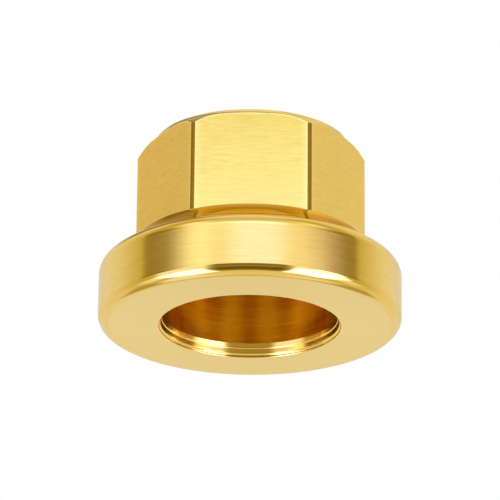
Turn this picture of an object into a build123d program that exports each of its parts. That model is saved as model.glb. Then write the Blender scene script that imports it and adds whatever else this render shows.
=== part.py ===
from build123d import *
import math
import os

# Flange lock nut, turned and milled from one bar, in millimetres.
# Origin: centre of the bearing face. +Z runs along the thread axis towards the hexagon.

# Flange
flange_diameter = 40.6
flange_thickness = 8.8
flange_lower_round = 1.4
flange_upper_round = 1.9
crest_angle = 75.0

# Neck that spreads as a cone from the turned blank to the crest of the flange's upper round
neck_height = 2.8

# Hexagon, milled on the turned blank, whose corners it leaves as narrow strips. Its crown falls
# gently from the collar over a share of the way to the corners, and steeply over the rest.
across_flats = 27.0
blank_diameter = 30.8
hexagon_height = 13.8
crown_slope = 13.0
corner_slope = 45.0
crown_share = 0.43

# Locking collar on top of the hexagon, a little inside its flats and narrower towards its top
collar_step = 0.1
collar_height = 0.6
collar_taper = 0.25

# Metric fine thread, bored to its minor diameter
thread_diameter = 20.0
thread_pitch = 1.5
entry_clearance = 0.25

# Counterbore for the shoulder of the shaft
counterbore_diameter = 23.1
counterbore_depth = 10.0
shoulder_angle = 45.0

# Mouth of the counterbore, from its edge inwards: edge break, lip, bevel, ring, bevel and lead cone
edge_break = 0.1
lip_height = 0.2
mouth_bevel = 0.28
ring_height = 0.5
wall_bevel = 0.28
lead_cone_height = 0.5
lead_cone_taper = 0.05

# Rules of the geometry
hexagon_sides = 6
minor_diameter_factor = 1.0825
cut_overrun = 1.0

# Radii and heights that follow from the sizes above
flange_radius = flange_diameter / 2
blank_radius = blank_diameter / 2
collar_radius = across_flats / 2 - collar_step
thread_radius = thread_diameter / 2
minor_radius = thread_radius - minor_diameter_factor * thread_pitch / 2
entry_radius = thread_radius + entry_clearance
counterbore_radius = counterbore_diameter / 2
cone_radius = counterbore_radius + lead_cone_taper
ring_radius = cone_radius + wall_bevel
lip_radius = ring_radius + mouth_bevel
mouth_radius = lip_radius + edge_break
flats_start = flange_thickness + neck_height
hexagon_top = flats_start + hexagon_height
overall_height = hexagon_top + collar_height


def blank_section():
    """Half section of the turned blank, from the axis out to the flange."""
    crown_width = (blank_radius - collar_radius) * crown_share
    corner_width = blank_radius - collar_radius - crown_width
    crown_drop = crown_width * math.tan(math.radians(crown_slope))
    corner_drop = corner_width * math.tan(math.radians(corner_slope))
    crest_reach = flange_upper_round * math.cos(math.radians(crest_angle))
    crest_rise = flange_upper_round * math.sin(math.radians(crest_angle))
    face_edge = (flange_radius - flange_lower_round, 0)
    lower_edge = (flange_radius, flange_lower_round)
    upper_edge = (flange_radius, flange_thickness - flange_upper_round)
    crest = (flange_radius - flange_upper_round + crest_reach, upper_edge[1] + crest_rise)
    with BuildSketch(Plane.XZ) as section:
        with BuildLine():
            Line((0, 0), face_edge)
            RadiusArc(face_edge, lower_edge, -flange_lower_round)
            Line(lower_edge, upper_edge)
            RadiusArc(upper_edge, crest, -flange_upper_round)
            Polyline(
                crest,
                (blank_radius, flats_start),
                (blank_radius, hexagon_top - crown_drop - corner_drop),
                (collar_radius + crown_width, hexagon_top - crown_drop),
                (collar_radius, hexagon_top),
                (collar_radius - collar_taper, overall_height),
                (0, overall_height),
                (0, 0),
            )
        make_face()
    return section.sketch


def bore_section():
    """Half section of everything that is bored out: mouth, counterbore, shoulder and thread."""
    lip_end = edge_break + lip_height
    ring_start = lip_end + mouth_bevel
    ring_end = ring_start + ring_height
    cone_start = ring_end + wall_bevel
    shoulder_rise = (counterbore_radius - minor_radius) / math.tan(math.radians(shoulder_angle))
    entry_depth = entry_radius - minor_radius
    top = overall_height + cut_overrun
    with BuildSketch(Plane.XZ) as section:
        with BuildLine():
            Polyline(
                (0, -cut_overrun),
                (mouth_radius, -cut_overrun),
                (mouth_radius, 0),
                (lip_radius, edge_break),
                (lip_radius, lip_end),
                (ring_radius, ring_start),
                (ring_radius, ring_end),
                (cone_radius, cone_start),
                (counterbore_radius, cone_start + lead_cone_height),
                (counterbore_radius, counterbore_depth),
                (minor_radius, counterbore_depth + shoulder_rise),
                (minor_radius, overall_height - entry_depth),
                (entry_radius, overall_height),
                (entry_radius, top),
                (0, top),
                (0, -cut_overrun),
            )
        make_face()
    return section.sketch


def flat_cutter():
    """What the milling cutter takes away: all that lies outside the hexagon, above the neck."""
    with BuildPart() as cutter:
        with BuildSketch(Plane.XY.offset(flats_start)):
            Circle(flange_radius)
            RegularPolygon(across_flats / 2, hexagon_sides, major_radius=False, mode=Mode.SUBTRACT)
        extrude(amount=hexagon_height + collar_height + cut_overrun)
    return cutter.part


def flange_nut():
    """Turned blank with six milled flats and the stepped bore through it."""
    nut = revolve(blank_section(), Axis.Z)
    nut = nut - flat_cutter()
    nut = nut - revolve(bore_section(), Axis.Z)
    nut.label = "flange_nut"
    return nut


os.makedirs("parts", exist_ok=True)
export_step(flange_nut(), "parts/flange_nut.step")
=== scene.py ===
"""Looks of a one-piece flange lock nut in gold-coloured brass.

Everything is in metres, in the frame of the CAD part: the nut stands on its bearing face at
z = 0, its thread runs along +Z and one milled flat faces -Y. The camera looks up at it from
in front and below.
"""

import logging
import math
from dataclasses import dataclass
from enum import Enum

import bmesh
import bpy
import numpy as np
from mathutils import Matrix, Vector


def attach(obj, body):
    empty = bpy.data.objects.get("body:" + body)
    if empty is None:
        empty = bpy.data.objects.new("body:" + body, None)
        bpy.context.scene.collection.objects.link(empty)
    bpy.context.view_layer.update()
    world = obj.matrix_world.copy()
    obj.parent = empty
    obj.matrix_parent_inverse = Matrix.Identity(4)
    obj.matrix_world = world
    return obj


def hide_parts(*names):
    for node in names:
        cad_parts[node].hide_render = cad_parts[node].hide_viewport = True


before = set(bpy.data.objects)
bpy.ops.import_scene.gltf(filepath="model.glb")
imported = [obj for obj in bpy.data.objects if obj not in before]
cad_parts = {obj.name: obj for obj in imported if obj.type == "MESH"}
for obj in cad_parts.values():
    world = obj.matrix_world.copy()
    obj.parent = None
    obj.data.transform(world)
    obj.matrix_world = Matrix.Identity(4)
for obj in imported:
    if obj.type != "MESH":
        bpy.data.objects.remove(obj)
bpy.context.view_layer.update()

LOG = logging.getLogger("flange_lock_nut")
MM = 0.001
TURN = 2 * math.pi
SIDES = 6
SIDE_TURN = TURN / SIDES
ANGLE_DIGITS = 9
NODE = "flange_nut"
BODY = "root"
WEAR_AND_HIGHLIGHT = "wear_and_highlight"
PAINTED_SHADE = "shade"

# Smallest length to divide by, cosine of an all but straight corner, and distances in metres at
# which two points, and the ends of an edge, become one.
TINY = 1e-9
STRAIGHT = 0.999999
MERGE_DISTANCE = 2e-7
POINT_DISTANCE = 1e-8

# Angles in degrees, and the sides of a card that goes all the way round.
ZENITH = 90.0
FULL_TURN = 360.0
AROUND = (-400.0, 400.0)

Colour = tuple[float, float, float, float]
Columns = np.ndarray | float


class Signal:
    """A socket of a node tree, with arithmetic that adds Math nodes."""

    def __init__(self, bench: "Bench", socket: bpy.types.NodeSocket) -> None:
        """Keeps the socket and the bench whose tree it belongs to."""
        self.bench = bench
        self.socket = socket

    def __add__(self, other: "Signal | float") -> "Signal":
        """This value plus another."""
        return self.bench.maths("ADD", self, other)

    def __radd__(self, other: float) -> "Signal":
        """A number plus this value."""
        return self.bench.maths("ADD", other, self)

    def __sub__(self, other: "Signal | float") -> "Signal":
        """This value less another."""
        return self.bench.maths("SUBTRACT", self, other)

    def __rsub__(self, other: float) -> "Signal":
        """A number less this value."""
        return self.bench.maths("SUBTRACT", other, self)

    def __mul__(self, other: "Signal | float") -> "Signal":
        """This value times another."""
        return self.bench.maths("MULTIPLY", self, other)

    def step(self, low: float, high: float) -> "Signal":
        """A soft step from 0 at low to 1 at high.

        Args:
            low: the value at which the step begins.
            high: the value at which it is complete.

        Returns:
            The step's height, from 0 to 1.
        """
        settings = {"interpolation_type": "SMOOTHSTEP"}
        values = {"Value": self, "From Min": low, "From Max": high}
        return self.bench.node("ShaderNodeMapRange", settings, values)


class Bench:
    """A node tree under construction."""

    def __init__(self, tree: bpy.types.NodeTree) -> None:
        """Keeps the tree and empties it."""
        self.tree = tree
        tree.nodes.clear()

    def node(
        self,
        kind: str,
        settings: dict | None = None,
        values: dict | None = None,
        output: int | str = 0,
    ) -> Signal:
        """Adds one node.

        Args:
            kind: the node's type.
            settings: its own settings.
            values: numbers or links for its sockets, by name or place.
            output: the name or place of the output that is wanted.

        Returns:
            The output, or an empty signal for a node without one.
        """
        made = self.tree.nodes.new(kind)
        for name, value in (settings or {}).items():
            setattr(made, name, value)
        for place, value in (values or {}).items():
            socket = made.inputs[place]
            if isinstance(value, Signal):
                self.tree.links.new(value.socket, socket)
            else:
                socket.default_value = value
        return Signal(self, made.outputs[output] if made.outputs else None)

    def maths(self, operation: str, *terms: Signal | float) -> Signal:
        """Adds a Math node with the given terms."""
        return self.node("ShaderNodeMath", {"operation": operation}, dict(enumerate(terms)))

    def blend(
        self, share: Signal | float, first: Signal | Colour, second: Signal | Colour
    ) -> Signal:
        """Mixes two colours.

        Args:
            share: how much of the second colour shows.
            first: the colour at a share of 0.
            second: the colour at a share of 1.

        Returns:
            The mixed colour.
        """
        settings = {"data_type": "RGBA", "clamp_factor": True}
        return self.node("ShaderNodeMix", settings, {0: share, 6: first, 7: second}, output=2)

    def split(self, vector: Signal) -> tuple[Signal, ...]:
        """Splits a vector into its three parts."""
        splitter = self.node("ShaderNodeSeparateXYZ", values={0: vector}).socket.node
        return tuple(Signal(self, part) for part in splitter.outputs)

    def join(self, x: Signal | float, y: Signal | float, z: Signal | float) -> Signal:
        """Joins three values into a vector."""
        return self.node("ShaderNodeCombineXYZ", values={0: x, 1: y, 2: z})


def colour(red: float, green: float, blue: float, level: float = 1.0) -> Colour:
    """A colour at a level, as the four numbers that a colour socket takes."""
    return (red * level, green * level, blue * level, 1.0)


class Grain(Enum):
    """Which way the tool marks of a finish run."""

    ALONG = "level lines along a milled flat"
    AROUND = "rings around the axis"


@dataclass(frozen=True)
class BrassFinish:
    """Gold-coloured brass as one tool leaves it.

    Attributes:
        name: the material's name.
        bright: colour of the crests of the marks.
        deep: colour between the marks.
        worn_and_highlight: colour that rubbing gives the edges, which also paints a highlight
            along them.
        roughness: its mean.
        swing: how far the roughness varies from mark to mark.
        fine: marks across a metre.
        slow: changes along one mark, across a metre.
        streak: how much the broad marks show in the colour.
        hair: how much the fine marks show in the colour.
        cloud: how much the soft patches show in the colour.
        depth: height of the fine marks, in metres.
        stretch: how far the gloss is drawn out across the marks.
        glance: tint of the gloss at a glancing angle.
        rub_and_highlight: how much of that colour the edges show, as rubbing and painted
            highlight.
        grain: which way the tool marks run.
    """

    name: str
    bright: Colour = colour(0.97, 0.69, 0.17)
    deep: Colour = colour(0.90, 0.59, 0.11)
    worn_and_highlight: Colour = colour(1.0, 0.77, 0.22)
    roughness: float = 0.2
    swing: float = 0.06
    fine: float = 9000.0
    slow: float = 150.0
    streak: float = 0.5
    hair: float = 0.4
    cloud: float = 0.5
    depth: float = 0.8e-6
    stretch: float = 0.6
    glance: Colour = colour(1.0, 1.0, 1.0)
    rub_and_highlight: float = 0.8
    grain: Grain = Grain.AROUND

    # Shared by all finishes: seeds of the fine and the broad marks, the broad ones' share of fine
    # and slow, layers and strength of the noise, soft patches, and specks that break the rubbing.
    seeds: tuple[float, float] = (1.7, 5.3)
    broad: tuple[float, float] = (0.22, 0.5)
    marks_noise: tuple[float, float] = (4.0, 0.7)
    cloud_scale: float = 140.0
    cloud_detail: float = 3.0
    speck_scale: float = 2600.0
    speck_range: tuple[float, float] = (0.2, 0.52)

    # How much rubbing lowers the roughness, the broad marks' share of depth, and the gloss's turn.
    rubbed_gloss: float = 0.4
    broad_relief: float = 0.8
    gloss_turn: float = 0.25

    def marks(self, bench: Bench, fine: float, slow: float, seed: float) -> Signal:
        """Lines that the tool leaves, from 0 to 1.

        Args:
            bench: the material's tree.
            fine: lines across a metre.
            slow: changes along a line, across a metre.
            seed: what sets these lines apart from the others.

        Returns:
            The height of the lines.
        """
        x, y, z = bench.split(bench.node("ShaderNodeTexCoord", output="Object"))
        detail, strength = self.marks_noise
        noise = {"Scale": 1.0, "Detail": detail, "Roughness": strength}
        if self.grain is Grain.ALONG:
            vector = bench.join(x * slow, y * slow, z * fine)
            values = {"Vector": vector, "W": seed}
        else:
            reach = bench.maths("SQRT", x * x + y * y)
            vector = bench.join(reach * fine, z * fine, x * slow)
            values = {"Vector": vector, "W": y * slow + seed}
        return bench.node("ShaderNodeTexNoise", {"noise_dimensions": "4D"}, {**values, **noise})

    def clouds(self, bench: Bench, scale: float) -> Signal:
        """Soft patches of handling and tarnish, from 0 to 1."""
        place = bench.node("ShaderNodeTexCoord", output="Object")
        return bench.node("ShaderNodeTexNoise", values={
            "Vector": place, "Scale": scale, "Detail": self.cloud_detail,
        })

    def make(self) -> bpy.types.Material:
        """Builds the material.

        Returns:
            The material, with its tone, gloss and relief from the same tool marks.
        """
        material = bpy.data.materials.new(self.name)
        material.use_nodes = True
        bench = Bench(material.node_tree)
        fine_seed, broad_seed = self.seeds
        broad_fine, broad_slow = self.broad
        hair = self.marks(bench, self.fine, self.slow, fine_seed)
        streak = self.marks(bench, self.fine * broad_fine, self.slow * broad_slow, broad_seed)
        cloud = self.clouds(bench, self.cloud_scale)
        speck = self.clouds(bench, self.speck_scale)
        # Rubbing on the edges, which also paints a highlight along them in the pale edge colour.
        rubbed_and_highlight = bench.node("ShaderNodeAttribute", {"attribute_name": WEAR_AND_HIGHLIGHT}, output="Fac")
        rubbed_and_highlight = rubbed_and_highlight * speck.step(*self.speck_range)
        # Painted light and shade from the mesh: the flats' lightness, and painted reflections on
        # the wall and the neck.
        shade = bench.node("ShaderNodeAttribute", {"attribute_name": PAINTED_SHADE}, output="Fac")
        tone = shade + 0.5 + (hair - 0.5) * self.hair + (streak - 0.5) * self.streak
        tone = tone + (cloud - 0.5) * self.cloud
        metal = bench.blend(tone, self.deep, self.bright)
        metal = bench.blend(rubbed_and_highlight * self.rub_and_highlight, metal, self.worn_and_highlight)
        gloss = self.roughness + (streak - 0.5) * self.swing + (cloud - 0.5) * self.swing
        gloss = gloss - rubbed_and_highlight * (self.roughness * self.rubbed_gloss)
        relief = bench.node("ShaderNodeBump", values={
            "Strength": 1.0,
            "Distance": self.depth,
            "Height": hair + streak * self.broad_relief,
        })
        shader = bench.node("ShaderNodeBsdfPrincipled", values={
            "Base Color": metal,
            "Metallic": 1.0,
            "Roughness": gloss,
            "Normal": relief,
            "Anisotropic": self.stretch,
            "Anisotropic Rotation": self.gloss_turn,
            "Specular Tint": self.glance,
        })
        bench.node("ShaderNodeOutputMaterial", values={"Surface": shader})
        return material


class Zone(Enum):
    """Stretches of the nut's skin, each with its own finish."""

    FACE = BrassFinish(
        "faced_land", colour(0.97, 0.72, 0.205), colour(0.93, 0.665, 0.165), roughness=0.3,
        swing=0.05, fine=7000.0, slow=120.0, hair=0.3, cloud=0.7, depth=0.5e-6, stretch=0.5,
    )
    LOWER_ROUND = BrassFinish(
        "polished_lower_round", roughness=0.09, swing=0.03, streak=0.4, hair=0.25, cloud=0.3,
        depth=0.15e-6, stretch=0.3,
    )
    RIM = BrassFinish(
        "turned_rim", colour(1.0, 0.75, 0.20), colour(0.88, 0.56, 0.105), swing=0.08,
        fine=5600.0, slow=320.0, hair=1.3, cloud=0.3, depth=0.9e-6, stretch=0.7,
    )
    UPPER_ROUND = BrassFinish(
        "polished_upper_round", roughness=0.1, swing=0.03, streak=0.4, hair=0.25, cloud=0.3,
        depth=0.15e-6, stretch=0.3,
    )
    # The neck's dark second colour is the dark arc of its painted reflections.
    NECK = BrassFinish(
        "turned_neck", colour(0.94, 0.65, 0.155), colour(0.48, 0.25, 0.025), roughness=0.1,
        swing=0.04, streak=0.3, hair=0.2, cloud=0.2, depth=0.2e-6, stretch=0.3,
        glance=colour(0.80, 0.70, 0.42),
    )
    # The flats' two colours also carry their painted shade, flat by flat.
    FLAT = BrassFinish(
        "milled_flats", colour(0.99, 0.69, 0.13), colour(0.74, 0.41, 0.02), roughness=0.25,
        swing=0.1, slow=650.0, streak=0.3, hair=1.35, cloud=0.3, grain=Grain.ALONG,
    )
    # The corner strips' brass is painted darker than the rest, as painted shade.
    STRIP = BrassFinish(
        "turned_corner_strips_painted_shade", colour(0.59, 0.345, 0.032), colour(0.50, 0.275, 0.02),
        roughness=0.16, swing=0.05, depth=0.5e-6, stretch=0.5, rub_and_highlight=0.35,
    )
    CHAMFER = BrassFinish("turned_crown", swing=0.05, depth=0.5e-6, stretch=0.5)
    TOP = BrassFinish(
        "faced_top", roughness=0.24, swing=0.05, fine=7000.0, streak=0.6, depth=0.5e-6,
    )
    THREAD = BrassFinish(
        "cut_thread", colour(0.88, 0.55, 0.07), colour(0.76, 0.44, 0.045), roughness=0.3,
        swing=0.08, fine=8000.0, streak=0.6, depth=0.6e-6, stretch=0.3,
    )
    # The shoulder in the bore is painted darker, as painted shade in the recess.
    SHOULDER = BrassFinish(
        "bored_shoulder_painted_shade", colour(0.66, 0.40, 0.06), colour(0.54, 0.30, 0.035), roughness=0.45,
        swing=0.08, fine=5000.0, streak=0.6, stretch=0.3,
    )
    # The wall's two colours span its painted reflection bands.
    WALL = BrassFinish(
        "bored_wall", colour(1.0, 0.70, 0.035), colour(0.64, 0.335, 0.008), roughness=0.22,
        swing=0.1, fine=5200.0, slow=90.0, streak=1.0, hair=2.2, depth=1.0e-6,
    )
    RING = BrassFinish(
        "polished_rings", roughness=0.16, swing=0.03, streak=0.4, hair=0.25, depth=0.15e-6,
        stretch=0.3,
    )


ZONES = list(Zone)


def within_half_turn(angle: Columns) -> Columns:
    """The same angle between minus and plus half a turn, in radians."""
    return (angle + math.pi) % TURN - math.pi


def ways(steps: np.ndarray) -> tuple[np.ndarray, np.ndarray]:
    """Direction and length of each step, where each row of the array is one step."""
    lengths = np.linalg.norm(steps, axis=1)
    return steps / np.maximum(lengths, TINY)[:, None], lengths


@dataclass(frozen=True)
class Corner:
    """A corner of the half section, given for every column of the mesh, in millimetres.

    Attributes:
        radius: distance from the axis, for each column.
        height: height above the bearing face, for each column.
        rounding: radius of the round on the corner, or 0 for a plain point of a curve.
        round_zone: the finish of the round.
        next_zone: the finish of the stretch to the next corner.
        wear_and_highlight: how much rubbing and painted highlight the corner has, from 0 to 1.
    """

    radius: np.ndarray
    height: np.ndarray
    rounding: float
    round_zone: Zone
    next_zone: Zone
    wear_and_highlight: float = 0.0

    def point(self) -> np.ndarray:
        """Distance from the axis and height in each column, a row for each column."""
        return np.stack([self.radius, self.height], 1)


@dataclass(frozen=True)
class Row:
    """One row of points of the closed skin.

    Attributes:
        point: distance from the axis and height, for each column.
        zone: the finish of the span that follows it.
        wear_and_highlight: how much rubbing and painted highlight it has.
    """

    point: np.ndarray
    zone: Zone
    wear_and_highlight: float = 0.0


@dataclass
class NutBody:
    """The turned and milled body, one closed skin. Sizes are in millimetres, angles in degrees."""

    # Sizes of the CAD part.
    flange_radius: float = 20.3
    flange_thickness: float = 8.8
    lower_round: float = 1.4
    upper_round: float = 1.9
    crest_angle: float = 75.0
    neck_height: float = 2.8
    apothem: float = 13.5
    blank_radius: float = 15.4
    hexagon_height: float = 13.8
    crown_slope: float = 13.0
    corner_slope: float = 45.0
    crown_share: float = 0.43
    collar_step: float = 0.1
    collar_height: float = 0.6
    collar_taper: float = 0.25
    thread_radius: float = 10.0
    entry_clearance: float = 0.25
    counterbore_radius: float = 11.55
    counterbore_depth: float = 10.0
    mouth_break: float = 0.1
    lip_height: float = 0.2
    mouth_bevel: float = 0.28
    ring_height: float = 0.5
    wall_bevel: float = 0.28
    lead_cone_height: float = 0.5
    lead_cone_taper: float = 0.05

    # What the CAD part keeps plain: hollow neck, eased crown, tapered ring and broken edges.
    neck_hollow: float = 0.28
    crown_blend: float = 0.55
    ring_ease: float = 0.066
    cone_ease: float = 0.12
    edge_break: float = 0.07
    fine_break: float = 0.03
    upright_break: float = 0.05
    lip_round: float = 0.2

    # Rows of the mesh: steps of curves and rounds, the share of a stretch that a round may take,
    # and the rows beside a round, which keep the shading of the stretch level.
    curve_steps: int = 14
    round_steps: int = 4
    crown_steps: int = 9
    crown_lead: float = 0.6
    large_round: float = 1.0
    round_limit: float = 0.49
    round_room: float = 1.2
    support_gap: float = 0.1
    support_shares: tuple[float, float] = (0.2, 0.6)

    # Columns of the mesh, counted in strip angles beside the edge of a corner strip.
    column_angle: float = 1.0
    strip_angle: float = 0.1
    strip_steps: tuple[int, ...] = (-6, -4, -3, -2, -1, 0, 1, 2, 3, 4, 6)
    strip_clearance: float = 7.0
    strip_margin: float = 0.02

    # Rubbing with a painted edge highlight, and the peak and width of both on an upright edge and
    # in the halo round it.
    foot_wear_and_highlight: float = 0.6
    crown_wear_and_highlight: float = 1.0
    end_wear_and_highlight: float = 0.8
    ring_wear_and_highlight: float = 0.3
    edge_wear_and_highlight: tuple[float, float] = (1.6, 3.0)
    halo_wear_and_highlight: tuple[float, float] = (0.3, 3.5)

    # Painted shade of each flat from the front one on, each lighter or darker as the light falls
    # on it, and the painted fall in lightness up the front one.
    flat_painted_shades: tuple[float, ...] = (0.28, 0.22, 0.1, 0.15, 0.05, -0.18)
    front_painted_fall: float = 0.5

    # Painted reflections on the wall: its light and dark upright bands, and how much weaker and
    # lighter they are at the sides.
    wall_painted_band: float = 0.55
    wall_waves: float = 4.7
    wall_painted_side: tuple[float, float] = (0.5, 0.2)

    # Painted reflections on the neck: the light lens under each flat, the dark arc over it and the
    # light wedge at each corner.
    lens_height: float = 0.58
    lens_angle: float = 20.0
    lens_power: int = 4
    lens_edge: float = 0.14
    arc_tones: tuple[float, float] = (0.1, 0.85)
    wedge_angles: tuple[float, float] = (20.0, 28.0)

    def strip_ends(self) -> list[float]:
        """Angles at which a flat meets a corner strip, in radians."""
        half = math.acos(self.apothem / self.blank_radius)
        return [side * TURN / SIDES + end for side in range(SIDES) for end in (-half, half)]

    def from_mid_flat(self, angles: np.ndarray) -> np.ndarray:
        """Angle of each column from the middle of its flat, in radians."""
        return (angles + SIDE_TURN / 2) % SIDE_TURN - SIDE_TURN / 2

    def azimuths(self) -> np.ndarray:
        """Angles of the mesh's columns, closer where a flat meets a corner strip.

        Returns:
            Angles in radians, from 0 to just under a full turn.
        """
        fine = math.radians(self.strip_angle)
        room = self.strip_clearance * fine
        even = np.radians(np.arange(0, FULL_TURN, self.column_angle))
        angles = set(np.round(even, ANGLE_DIGITS))
        for edge in self.strip_ends():
            angles -= {angle for angle in angles if abs(within_half_turn(angle - edge)) < room}
            near = {(edge + step * fine) % TURN for step in self.strip_steps}
            angles |= {round(angle, ANGLE_DIGITS) for angle in near}
        return np.array(sorted(angles))

    def hexagon_radius(self, angles: np.ndarray) -> np.ndarray:
        """Distance from the axis to the hexagon's skin, with its upright edges a little rounded.

        Args:
            angles: the columns' angles, in radians.

        Returns:
            The distance in each column, in millimetres.
        """
        flat = self.apothem / np.cos(self.from_mid_flat(angles))
        soft = self.upright_break
        blend = np.clip((soft - np.abs(flat - self.blank_radius)) / soft, 0, None)
        return np.minimum(flat, self.blank_radius) - blend**2 * soft / 4

    def crown_drop(self, radius: np.ndarray) -> np.ndarray:
        """How far the crown has fallen below the collar's foot, gently first, then steeply.

        Args:
            radius: distances from the axis, in millimetres.

        Returns:
            The fall at each distance, in millimetres.
        """
        collar = self.apothem - self.collar_step
        gentle = math.tan(math.radians(self.crown_slope))
        steep = math.tan(math.radians(self.corner_slope))
        beyond = radius - (collar + (self.blank_radius - collar) * self.crown_share)
        eased = np.clip(beyond + self.crown_blend, 0, None) ** 2 / (4 * self.crown_blend)
        added = np.where(beyond > self.crown_blend, beyond, eased)
        return gentle * (radius - collar) + (steep - gentle) * added

    def arc(
        self, centre: tuple[float, float], radius: float, start: float, end: float, zone: Zone
    ) -> list[tuple[float, float, Zone]]:
        """Points of an arc of the half section.

        Args:
            centre: distance from the axis and height of the arc's centre.
            radius: the arc's radius.
            start: angle of its first point above the horizontal, in radians.
            end: angle of its last point.
            zone: the finish of its spans.

        Returns:
            Distance from the axis, height and finish of each point but the last.
        """
        points = []
        for step in range(self.curve_steps):
            angle = start + (end - start) * step / self.curve_steps
            out, up = radius * math.cos(angle), radius * math.sin(angle)
            points.append((centre[0] + out, centre[1] + up, zone))
        return points

    def neck_curve(self) -> list[tuple[float, float, Zone]]:
        """Upper round of the flange and the hollow neck that rises from its crest.

        Returns:
            Points of the curve, from the rim up to the edge under the flats.
        """
        crest = math.radians(self.crest_angle)
        centre = (self.flange_radius - self.upper_round, self.flange_thickness - self.upper_round)
        points = self.arc(centre, self.upper_round, 0.0, crest, Zone.UPPER_ROUND)
        foot = np.array(centre) + self.upper_round * np.array([math.cos(crest), math.sin(crest)])
        head = np.array([self.blank_radius, self.flange_thickness + self.neck_height])
        chord = head - foot
        length = float(np.linalg.norm(chord))
        bend = (length**2 / 4 + self.neck_hollow**2) / (2 * self.neck_hollow)
        out = np.array([chord[1], -chord[0]]) / length
        middle = (foot + head) / 2 + out * (bend - self.neck_hollow)
        first, last = foot - middle, head - middle
        start = math.atan2(first[1], first[0]) % TURN
        end = math.atan2(last[1], last[0]) % TURN
        return points + self.arc((middle[0], middle[1]), bend, start, end, Zone.NECK)

    def corners(self, angles: np.ndarray) -> list[Corner]:
        """Corners of the half section, anticlockwise from the lower edge of the rim.

        Args:
            angles: the columns' angles, in radians.

        Returns:
            The corners in order, each with its round and its finish.
        """
        one = np.ones_like(angles)
        soft, crisp = self.edge_break, self.fine_break
        skin = self.hexagon_radius(angles)
        flats = self.flange_thickness + self.neck_height
        shoulder = flats + self.hexagon_height
        top = shoulder + self.collar_height
        collar = self.apothem - self.collar_step
        cone = self.counterbore_radius + self.lead_cone_taper
        ring = cone + self.wall_bevel
        lip = ring + self.mouth_bevel
        lip_end = self.mouth_break + self.lip_height
        ring_start = lip_end + self.mouth_bevel
        ring_end = ring_start + self.ring_height
        cone_start = ring_end + self.wall_bevel
        relief = self.counterbore_depth + self.counterbore_radius - self.thread_radius

        def at(
            radius: Columns, height: Columns, rounding: float, *zones: Zone, wear_and_highlight: float = 0.0
        ) -> Corner:
            """A corner, and the finish of its round and of what follows where that differs."""
            return Corner(radius * one, height * one, rounding, zones[0], zones[-1], wear_and_highlight)

        found = [at(self.flange_radius, 0, self.lower_round, Zone.LOWER_ROUND, Zone.RIM)]
        found += [at(radius, height, 0.0, zone) for radius, height, zone in self.neck_curve()]
        found += [
            at(self.blank_radius, flats, soft, Zone.NECK, wear_and_highlight=self.foot_wear_and_highlight),
            at(skin, flats, crisp, Zone.FLAT),
            at(skin, shoulder - self.crown_drop(skin), soft, Zone.CHAMFER, wear_and_highlight=self.crown_wear_and_highlight),
        ]
        lead = skin - np.minimum(2 * soft, self.crown_lead * (skin - collar))
        for step in range(self.crown_steps):
            radius = lead + (collar - lead) * step / self.crown_steps
            found.append(at(radius, shoulder - self.crown_drop(radius), 0.0, Zone.CHAMFER))
        wall, thread, ease = self.counterbore_radius, self.thread_radius, self.ring_ease
        cone_end, end_wear_and_highlight = cone_start + self.lead_cone_height, self.end_wear_and_highlight
        found += [
            at(collar, shoulder, 0.0, Zone.CHAMFER),
            at(collar - self.collar_taper, top, crisp, Zone.CHAMFER, Zone.TOP, wear_and_highlight=end_wear_and_highlight),
            at(thread + self.entry_clearance, top, soft, Zone.TOP, Zone.THREAD, wear_and_highlight=end_wear_and_highlight),
            at(thread, top - self.entry_clearance, crisp, Zone.THREAD),
            at(thread, relief, crisp, Zone.THREAD, Zone.SHOULDER),
            at(wall, self.counterbore_depth, soft, Zone.SHOULDER, Zone.WALL),
            at(wall, cone_end, soft, Zone.WALL, Zone.RING),
            at(cone + self.cone_ease, cone_start - self.cone_ease, soft, Zone.RING),
            at(ring - ease, ring_end + ease, soft, Zone.RING),
            at(ring + ease, ring_start - ease, soft, Zone.RING, wear_and_highlight=self.ring_wear_and_highlight),
            at(lip, lip_end, self.lip_round, Zone.RING, wear_and_highlight=self.ring_wear_and_highlight),
            at(lip, self.mouth_break, self.lip_round, Zone.RING),
            at(lip + self.mouth_break, 0, soft, Zone.RING, Zone.FACE, wear_and_highlight=end_wear_and_highlight),
        ]
        return found

    def skin_rows(self, angles: np.ndarray) -> list[Row]:
        """Rounds every corner.

        Args:
            angles: the columns' angles, in radians.

        Returns:
            The rows of the skin.
        """
        corners = self.corners(angles)
        rows = []
        for index, corner in enumerate(corners):
            before, after = corners[index - 1], corners[(index + 1) % len(corners)]
            here = corner.point()
            if corner.rounding == 0:
                rows.append(Row(here, corner.next_zone, corner.wear_and_highlight))
                continue
            back, reach = ways(before.point() - here)
            ahead, span = ways(after.point() - here)
            half = np.arccos(np.clip((back * ahead).sum(1), -STRAIGHT, STRAIGHT)) / 2
            room = self.round_limit * np.minimum(reach, span)
            length = np.minimum(corner.rounding / np.tan(half), room)
            middle, _ = ways(back + ahead)
            centre = here + middle * (length / np.cos(half))[:, None]
            start = here + back * length[:, None] - centre
            end = here + ahead * length[:, None] - centre
            sweep = math.pi - 2 * half
            large = corner.rounding > self.large_round
            steps = self.curve_steps if large else self.round_steps
            for step in range(steps + 1):
                share = step / steps
                first = np.sin((1 - share) * sweep) / np.sin(sweep)
                last = np.sin(share * sweep) / np.sin(sweep)
                point = centre + start * first[:, None] + end * last[:, None]
                zone = corner.next_zone if step == steps else corner.round_zone
                rows.append(Row(point, zone, corner.wear_and_highlight))
            if after.rounding > 0 or large:
                free = np.maximum(span - length - after.rounding * self.round_room, 0)
                near_share, far_share = self.support_shares
                near = np.minimum(self.support_gap, near_share * free)
                far = np.maximum(free - self.support_gap, far_share * free)
                for place in (near, far):
                    rows.append(Row(centre + end + ahead * place[:, None], corner.next_zone))
        return rows

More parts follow.
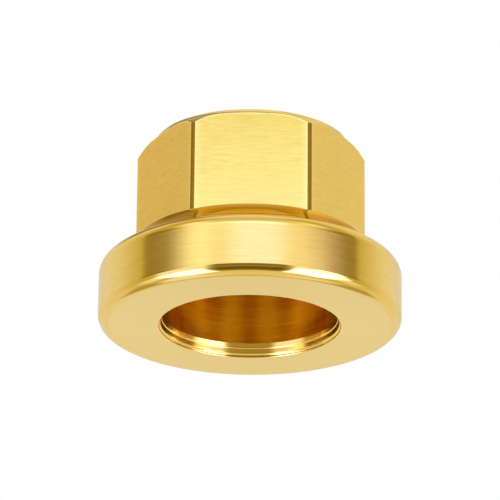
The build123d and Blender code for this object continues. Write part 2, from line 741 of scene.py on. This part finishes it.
    def neck_painted_reflection(self, angles: np.ndarray, height: np.ndarray) -> np.ndarray:
        """Painted reflections on the neck: the light lens and the dark arc under each flat, and
        the light wedge under each corner.

        Args:
            angles: the columns' angles, in radians.
            height: heights of the points, a row at a time.

        Returns:
            The painted light and shade of each point.
        """
        crest_rise = math.sin(math.radians(self.crest_angle))
        foot = self.flange_thickness - self.upper_round * (1 - crest_rise)
        up = np.clip((height - foot) / (self.flange_thickness + self.neck_height - foot), 0, 1)
        turned = np.degrees(self.from_mid_flat(angles))
        edge = self.lens_height * (1 - (turned / self.lens_angle) ** self.lens_power)
        lens = np.clip((edge - up) / self.lens_edge + 0.5, 0, 1)
        low, rise = self.arc_tones
        tone = lens + (1 - lens) * (low + rise * np.clip((up - edge) / (1 - edge), 0, 1))
        begin, full = self.wedge_angles
        wedge = np.clip((np.abs(turned) - begin) / (full - begin), 0, 1)
        return tone + wedge * (1 - tone) - 0.5

    def upright_wear_and_highlight(self, angles: np.ndarray) -> np.ndarray:
        """How much the upright edges of the flats show rubbing and a painted highlight.

        Args:
            angles: the columns' angles, in radians.

        Returns:
            The rubbing and painted highlight in each column, from 0 to 1.
        """
        ends = self.strip_ends()
        near = np.min([np.abs(within_half_turn(angles - end)) for end in ends], axis=0)
        (edge_peak, edge_width), (halo_peak, halo_width) = self.edge_wear_and_highlight, self.halo_wear_and_highlight
        edge = np.clip(edge_peak - near / math.radians(self.strip_angle * edge_width), 0, 1)
        halo = np.clip(1 - near / math.radians(self.column_angle * halo_width), 0, 1)
        return np.maximum(edge, halo_peak * halo)

    def painted_shading(self, angles: np.ndarray, height: np.ndarray, zones: list[Zone]) -> np.ndarray:
        """Painted light and shade on every point of the skin.

        Args:
            angles: the columns' angles, in radians.
            height: heights of the points, a row at a time.
            zones: the finish that follows each row.

        Returns:
            The painted light and shade of each point, where 0 is the middle between the finish's
            two colours.
        """
        flats, wall, neck = (
            np.array([zone is kind for zone in zones])[:, None]
            for kind in (Zone.FLAT, Zone.WALL, Zone.NECK)
        )
        # Painted shade: each flat is lighter or darker as light falls on it, and the front one is
        # painted lighter towards its foot.
        side = np.round(angles / SIDE_TURN).astype(int) % SIDES
        climb = (height - self.flange_thickness - self.neck_height) / self.hexagon_height
        flat_painted = np.array(self.flat_painted_shades)[side] + self.front_painted_fall * (side == 0) * (0.5 - climb)
        # Painted reflections: light and dark upright bands round the wall, weaker and lighter
        # towards the sides.
        weaker, lighter = self.wall_painted_side
        aside = np.sin(angles) ** 2
        painted_bands = -self.wall_painted_band * np.cos(self.wall_waves * math.pi * np.sin(angles))
        painted_bands = painted_bands * (1 - weaker * aside) + lighter * aside
        shade = flats * flat_painted + wall * painted_bands[None, :]
        return np.where(neck, self.neck_painted_reflection(angles, height), shade)

    def build(self) -> bpy.types.Object:
        """Makes the closed mesh, with its rubbing and painted edge highlights, its painted light
        and shade and a material slot for each finish.

        Returns:
            The body, at the origin.
        """
        angles = self.azimuths()
        rows = self.skin_rows(angles)
        zones = [row.zone for row in rows]
        radius, height = (np.array([row.point[:, axis] for row in rows]) for axis in (0, 1))
        points = np.stack([radius * np.sin(angles), -radius * np.cos(angles), height], 2)
        strip = self.hexagon_radius(angles) > self.blank_radius - self.strip_margin
        flats = np.array([zone is Zone.FLAT for zone in zones])[:, None]
        # Rubbing and painted edge highlights: on the corners' rows and along the flats' upright
        # edges.
        worn_and_highlight_rows = np.array([row.wear_and_highlight for row in rows])[:, None] * np.ones(len(angles))
        wear_and_highlight = np.maximum(worn_and_highlight_rows, flats * self.upright_wear_and_highlight(angles)[None, :])
        places = np.arange(radius.size).reshape(radius.shape).tolist()
        faces, slots = [], []
        for index, zone in enumerate(zones):
            here, above = places[index], places[(index + 1) % len(zones)]
            for left in range(len(angles)):
                right = (left + 1) % len(angles)
                faces.append([here[left], here[right], above[right], above[left]])
                # Faces on a corner strip take the darker strip brass, which is painted shade.
                on_strip = zone is Zone.FLAT and strip[left] and strip[right]
                slots.append(ZONES.index(Zone.STRIP if on_strip else zone))
        mesh = bpy.data.meshes.new("nut_body")
        mesh.from_pydata((points.reshape(-1, 3) * MM).tolist(), [], faces)
        mesh.polygons.foreach_set("material_index", slots)
        # Writes the rubbing and painted edge highlights, and the painted light and shade, as point
        # attributes.
        for name, values in ((WEAR_AND_HIGHLIGHT, wear_and_highlight), (PAINTED_SHADE, self.painted_shading(angles, height, zones))):
            painted = mesh.attributes.new(name, "FLOAT", "POINT")
            painted.data.foreach_set("value", values.reshape(-1))
        tidy_mesh(mesh)
        for zone in ZONES:
            mesh.materials.append(bpy.data.materials[zone.value.name])
        return place_object("nut_body", mesh)


def tidy_mesh(mesh: bpy.types.Mesh) -> None:
    """Merges doubles, turns faces outwards and shades them smoothly.

    Args:
        mesh: the mesh, which is changed in place.
    """
    form = bmesh.new()
    form.from_mesh(mesh)
    bmesh.ops.remove_doubles(form, verts=form.verts, dist=MERGE_DISTANCE)
    bmesh.ops.dissolve_degenerate(form, edges=form.edges, dist=POINT_DISTANCE)
    bmesh.ops.recalc_face_normals(form, faces=form.faces)
    for face in form.faces:
        face.smooth = True
    loose = sum(not edge.is_manifold for edge in form.edges)
    volume = form.calc_volume() / MM**3
    LOG.info("%s: %d faces, %d open edges, %.1f mm3", mesh.name, len(form.faces), loose, volume)
    form.to_mesh(mesh)
    form.free()


def place_object(name: str, data: bpy.types.ID) -> bpy.types.Object:
    """Puts an object in the scene.

    Args:
        name: its name.
        data: its mesh or its camera.

    Returns:
        The object, at the origin.
    """
    made = bpy.data.objects.new(name, data)
    bpy.context.scene.collection.objects.link(made)
    return made


@dataclass
class InternalThread:
    """The ridge of the internal thread, which winds up the bore. Sizes are in millimetres.

    It has the metric form, with a crest a quarter of the pitch wide, and its ends run out into
    the chamfers. Its foot sinks a little into the wall of the bore.
    """

    major_radius: float = 10.0
    crest_radius: float = 9.188
    pitch: float = 1.5
    crest_width: float = 0.375
    flank_angle: float = 30.0
    root_sink: float = 0.05
    start_height: float = 12.45
    end_height: float = 25.05
    turn_spans: int = 96
    sharp_angle: float = 25.0

    # Turns over which an end runs out, and the scale of the section at its tip.
    run_out: float = 0.7
    thinnest: float = 0.02

    def sizes(self) -> dict[str, float]:
        """Sizes for the node tree.

        Returns:
            The value of each named input, with lengths in metres.
        """
        depth = self.major_radius + self.root_sink - self.crest_radius
        spread = 2 * depth * math.tan(math.radians(self.flank_angle))
        return {
            "Root radius": (self.major_radius + self.root_sink) * MM,
            "Depth": depth * MM,
            "Root width": (self.crest_width + spread) * MM,
            "Crest width": self.crest_width * MM,
            "Rise": (self.end_height - self.start_height) * MM,
            "Start height": self.start_height * MM,
            "Turns": (self.end_height - self.start_height) / self.pitch,
            "Run out": self.run_out,
        }

    def tree(self, finish: bpy.types.Material) -> bpy.types.NodeTree:
        """Builds the node tree that sweeps the ridge's section along its helix.

        Args:
            finish: the ridge's material.

        Returns:
            The tree, with one named input for each size.
        """
        tree = bpy.data.node_groups.new("internal_thread", "GeometryNodeTree")
        bench = Bench(tree)
        for name in self.sizes():
            tree.interface.new_socket(name, in_out="INPUT", socket_type="NodeSocketFloat")
        tree.interface.new_socket("Geometry", in_out="OUTPUT", socket_type="NodeSocketGeometry")
        group = tree.nodes.new("NodeGroupInput")
        size = {name: Signal(bench, group.outputs[name]) for name in self.sizes()}
        helix = bench.node("GeometryNodeCurveSpiral", values={
            "Resolution": self.turn_spans,
            "Rotations": size["Turns"],
            "Start Radius": size["Root radius"],
            "End Radius": size["Root radius"],
            "Height": size["Rise"],
            "Reverse": True,
        })
        helix = bench.node("GeometryNodeSetCurveNormal", {"mode": "Z_UP"}, {"Curve": helix})
        section = bench.node("GeometryNodeCurvePrimitiveQuadrilateral", {"mode": "TRAPEZOID"}, {
            "Height": size["Depth"],
            "Bottom Width": size["Root width"],
            "Top Width": size["Crest width"],
            "Offset": 0.0,
        })
        section = bench.node("GeometryNodeTransform", values={
            "Geometry": section,
            "Translation": bench.join(size["Depth"] * -0.5, 0.0, 0.0),
            "Rotation": (0.0, 0.0, math.pi / 2),
        })
        along = bench.node("GeometryNodeSplineParameter", output="Factor") * size["Turns"]
        ends = bench.maths("MINIMUM", along, size["Turns"] - along)
        taper = bench.maths("MINIMUM", bench.maths("DIVIDE", ends, size["Run out"]), 1.0)
        ridge = bench.node("GeometryNodeCurveToMesh", values={
            "Curve": helix,
            "Profile Curve": section,
            "Scale": bench.maths("MAXIMUM", taper, self.thinnest),
            "Fill Caps": True,
        })
        lift = bench.join(0.0, 0.0, size["Start height"])
        ridge = bench.node("GeometryNodeSetPosition", values={"Geometry": ridge, "Offset": lift})
        ridge = bench.node("GeometryNodeRealizeInstances", values={"Geometry": ridge})
        values = {"Geometry": ridge, "Material": finish}
        ridge = bench.node("GeometryNodeSetMaterial", values=values)
        bench.node("NodeGroupOutput", values={"Geometry": ridge})
        return tree

    def build(self) -> bpy.types.Object:
        """Runs the tree and keeps its result as a plain mesh.

        Returns:
            The ridge, at the origin.
        """
        finish = bpy.data.materials[Zone.THREAD.value.name]
        carrier = place_object("thread_carrier", bpy.data.meshes.new("thread_carrier"))
        winder = carrier.modifiers.new("winder", "NODES")
        winder.node_group = self.tree(finish)
        for item in winder.node_group.interface.items_tree:
            if item.in_out == "INPUT":
                winder[item.identifier] = self.sizes()[item.name]
        scene_state = bpy.context.evaluated_depsgraph_get()
        mesh = bpy.data.meshes.new_from_object(carrier.evaluated_get(scene_state))
        mesh.name = "internal_thread"
        carrier.modifiers.remove(winder)
        bpy.data.objects.remove(carrier)
        tidy_mesh(mesh)
        mesh.set_sharp_from_angle(angle=math.radians(self.sharp_angle))
        return place_object("internal_thread", mesh)


@dataclass(frozen=True)
class Card:
    """A soft box or a dark flag round the nut, given by the directions in which its edges stand.

    Attributes:
        name: what it does.
        sides: angles of its left and right edge from the front towards the right, in degrees.
        levels: angles of its lower and upper edge above the horizon, in degrees.
        light: its colour and level, where 1 is the white backdrop.
        side_fades: how far its left and its right edge fade, in degrees.
        level_fades: how far its lower and its upper edge fade, in degrees.
    """

    name: str
    sides: tuple[float, float]
    levels: tuple[float, float]
    light: Colour
    side_fades: tuple[float, float] = (8.0, 8.0)
    level_fades: tuple[float, float] = (8.0, 8.0)

    def is_behind(self) -> bool:
        """Whether the card lies across the direction straight behind the nut."""
        return 0 < self.sides[0] < FULL_TURN / 2 < self.sides[1]


@dataclass
class Studio:
    """White backdrop with its cards, pale floor and camera."""

    # Cards, each laid over those before it, and the two levels of the room behind them, with the
    # angles from the front between which they change over.
    cards: tuple[Card, ...] = (
        Card("overhead", AROUND, (72, 108), colour(1.0, 1.02, 1.45, 0.87), level_fades=(6, 6)),
        Card("ground", AROUND, (-118, -62), colour(1.0, 0.98, 0.94, 0.84), level_fades=(5, 5)),
        Card("front box", (-61, 60), (-20, 54), colour(1.0, 1.07, 1.42, 1.27), (14, 17)),
        Card("front box right", (30, 64), (-20, 54), colour(1.0, 0.98, 1.1, 1.08), (6, 17)),
        Card("front strip", (-14, 24), (-14, 46), colour(1.0, 1.24, 2.5, 1.36), (13, 10)),
        Card("front box top", (-42, 42), (40, 66), colour(1.0, 0.96, 1.0, 0.76), (14, 14), (7, 7)),
        Card("left flag", (-88, -54), (12, 34), colour(1.0, 0.77, 0.20, 0.28), (2, 20), (2, 8)),
        Card("right flag", (52, 88.5), (12, 34), colour(1.0, 0.77, 0.18, 0.265), (25, 2), (2, 8)),
        Card("lower flag top", (-31, 31), (-4, 16), colour(1.0, 0.78, 0.25, 0.25), (7, 7), (3, 2)),
        Card("lower flag", (-31, 31), (-52, -2), colour(1.0, 0.75, 0.28, 0.16), (7, 7), (8, 3)),
        Card("light line", (-31, 31), (-14, -6), colour(1.0, 0.83, 0.40, 0.46), (14, 14), (3, 2)),
        Card("low left top", (-72, -34), (-16, 12), colour(1.0, 1.05, 2.0, 1.1), (6, 4), (4, 2)),
        Card("low right top", (34, 60), (-8, 12), colour(1.0, 1.1, 2.4, 1.2), (4, 6), (4, 2)),
        Card("low box left", (-78, -36), (-62, -18), colour(1.0, 1.0, 2.1, 2.95), (6, 4), (4, 4)),
        Card("low box right", (34, 78), (-58, -8), colour(1.0, 1.0, 2.1, 3.2), (4, 6), (5, 4)),
        Card("low box corner", (50, 72), (-12, 12), colour(1.0, 1.0, 2.1, 2.1), (5, 6), (4, 2)),
        Card("left wing", (-96, -76), (-42, -18), colour(0.92, 1.0, 1.35), (6, 6), (7, 7)),
        Card("right wing", (76, 96), (-42, -18), colour(0.90, 0.96, 1.25), (6, 6), (7, 7)),
        Card("left low flag", (-154, -108), (-55, -36), colour(0.50, 0.42, 0.27), (8, 8), (4, 6)),
        Card("right low flag", (115, 166), (-56, -37), colour(0.49, 0.42, 0.26), (8, 8), (5, 5)),
        Card("left tail", (-168, -74), (-72, -56), colour(0.95, 1.06, 1.9), (6, 6), (3, 3)),
        Card("right tail", (130, 172), (-70, -55), colour(0.92, 1.0, 1.6), (6, 6), (3, 3)),
        Card("back ground", (168, 196), (-62, -42), colour(0.64, 0.60, 0.55), (5, 5), (5, 3)),
        Card("back wall foot", (148, 212), (-40, -27), colour(0.85, 0.88, 1.2), (8, 8), (4, 4)),
        Card("back wall", (144, 216), (0, 44), colour(0.77, 0.76, 0.73)),
        Card("back flag left", (-166, -130), (38, 70), colour(1.0, 0.85, 0.5, 0.27)),
        Card("back flag right", (130, 166), (38, 70), colour(1.0, 0.88, 0.6, 0.88)),
    )
    side_level: Colour = colour(1.0, 0.85, 0.30, 0.60)
    back_level: Colour = colour(1.0, 1.0, 1.06, 0.84)
    side_end: tuple[float, float] = (80.0, 124.0)

    # Camera, in metres and degrees. Its aim lies right of the origin and above it, in pixels.
    camera_elevation: float = -21.3
    camera_roll: float = 0.5
    camera_distance: float = 0.507
    image_size: float = 500.0
    pixels_per_metre: float = 7494.0
    aim: tuple[float, float] = (0.28, 77.2)
    sensor: float = 36.0

    # Floor, in metres. It fades out between two shares of its radius.
    floor_radius: float = 0.3
    floor_fade: tuple[float, float] = (0.35, 0.98)
    floor_sides: int = 96
    floor_gap: float = 0.00002
    floor_grain: float = 900.0
    floor_colours: tuple[Colour, Colour] = (colour(0.94, 0.94, 0.935), colour(0.97, 0.97, 0.965))

    def card_mask(self, bench: Bench, card: Card, azimuth: Signal, elevation: Signal) -> Signal:
        """How fully a card covers each direction, from 0 to 1.

        Args:
            bench: the world's tree.
            card: the card.
            azimuth: the direction's angle from the front, in degrees, with no jump in the card.
            elevation: the direction's angle above the horizon, in degrees.

        Returns:
            The cover.
        """
        (left, right), (foot, head) = card.sides, card.levels
        (left_fade, right_fade), (foot_fade, head_fade) = card.side_fades, card.level_fades
        cover = elevation.step(foot - foot_fade, foot + foot_fade)
        if head < ZENITH:
            cover = cover * (1 - elevation.step(head - head_fade, head + head_fade))
        if right - left < FULL_TURN:
            cover = cover * azimuth.step(left - left_fade, left + left_fade)
            cover = cover * (1 - azimuth.step(right - right_fade, right + right_fade))
        return cover

    def light(self) -> None:
        """Builds the world: white for the camera, and with its cards for every other ray."""
        world = bpy.data.worlds.new("studio")
        bpy.context.scene.world = world
        world.use_nodes = True
        bench = Bench(world.node_tree)
        x, y, z = bench.split(bench.node("ShaderNodeTexCoord", output="Generated"))
        degree = math.degrees(1.0)
        azimuth = bench.maths("ARCTAN2", x, y * -1.0) * degree
        elevation = bench.maths("ARCSINE", z) * degree
        aside = bench.maths("ABSOLUTE", azimuth)
        light = bench.blend(aside.step(*self.side_end), self.side_level, self.back_level)
        behind = bench.maths("WRAP", azimuth, FULL_TURN, 0.0)
        for card in self.cards:
            turned = behind if card.is_behind() else azimuth
            light = bench.blend(self.card_mask(bench, card, turned, elevation), light, card.light)
        seen = bench.node("ShaderNodeLightPath", output="Is Camera Ray")
        shown = bench.blend(seen, light, colour(1.0, 1.0, 1.0))
        background = bench.node("ShaderNodeBackground", values={"Color": shown, "Strength": 1.0})
        bench.node("ShaderNodeOutputWorld", values={"Surface": background})
        LOG.info("studio: %d cards", len(self.cards))

    def lay_floor(self) -> None:
        """Lays a pale floor, which shows from above only and fades out into the backdrop."""
        form = bmesh.new()
        sides = self.floor_sides
        bmesh.ops.create_circle(form, cap_ends=True, radius=self.floor_radius, segments=sides)
        mesh = bpy.data.meshes.new("floor")
        form.to_mesh(mesh)
        form.free()
        for vertex in mesh.vertices:
            vertex.co.z = -self.floor_gap
        material = bpy.data.materials.new("pale_floor")
        material.use_nodes = True
        bench = Bench(material.node_tree)
        x, y, _ = bench.split(bench.node("ShaderNodeTexCoord", output="Object"))
        reach = bench.maths("SQRT", x * x + y * y)
        grain = bench.node("ShaderNodeTexNoise", values={"Scale": self.floor_grain, "Detail": 2.0})
        paint = bench.blend(grain, *self.floor_colours)
        matt = bench.node("ShaderNodeBsdfDiffuse", values={"Color": paint})
        clear = bench.node("ShaderNodeBsdfTransparent")
        under = bench.node("ShaderNodeNewGeometry", output="Backfacing")
        fade = [self.floor_radius * share for share in self.floor_fade]
        gone = bench.maths("MAXIMUM", under, reach.step(*fade))
        surface = bench.node("ShaderNodeMixShader", values={0: gone, 1: matt, 2: clear})
        bench.node("ShaderNodeOutputMaterial", values={"Surface": surface})
        mesh.materials.append(material)
        floor = place_object("floor", mesh)
        floor.visible_glossy = False
        floor.visible_diffuse = False
        floor.visible_transmission = False
        floor.visible_shadow = False

    def stand_camera(self) -> None:
        """Stands the camera in front of the nut, below it."""
        tilt, roll = math.radians(self.camera_elevation), math.radians(self.camera_roll)
        back = Vector((0, -math.cos(tilt), math.sin(tilt)))
        level = Vector((1, 0, 0))
        upright = back.cross(level)
        right = level * math.cos(roll) + upright * math.sin(roll)
        above = upright * math.cos(roll) - level * math.sin(roll)
        lens = bpy.data.cameras.new("camera")
        lens.sensor_width = self.sensor
        lens.lens = self.sensor * self.camera_distance * self.pixels_per_metre / self.image_size
        camera = place_object("camera", lens)
        aside, up = (pixels / self.pixels_per_metre for pixels in self.aim)
        shift = right * aside + above * up
        turn = Matrix((right, above, back)).transposed().to_4x4()
        camera.matrix_world = Matrix.Translation(back * self.camera_distance + shift) @ turn
        bpy.context.scene.camera = camera

    def build(self) -> None:
        """Lights the nut, lays the floor and stands the camera."""
        self.light()
        self.lay_floor()
        self.stand_camera()
        bpy.context.scene.view_settings.view_transform = "Standard"


def main() -> None:
    for zone in ZONES:
        zone.value.make()
        LOG.info("finish %s", zone.value.name)
    for piece in (NutBody().build(), InternalThread().build()):
        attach(piece, BODY)
        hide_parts(NODE)
        LOG.info("piece %s rides on %s", piece.name, BODY)
    Studio().build()


if __name__ == "__main__":
    logging.basicConfig(level=logging.INFO, format="%(name)s: %(message)s")
    main()
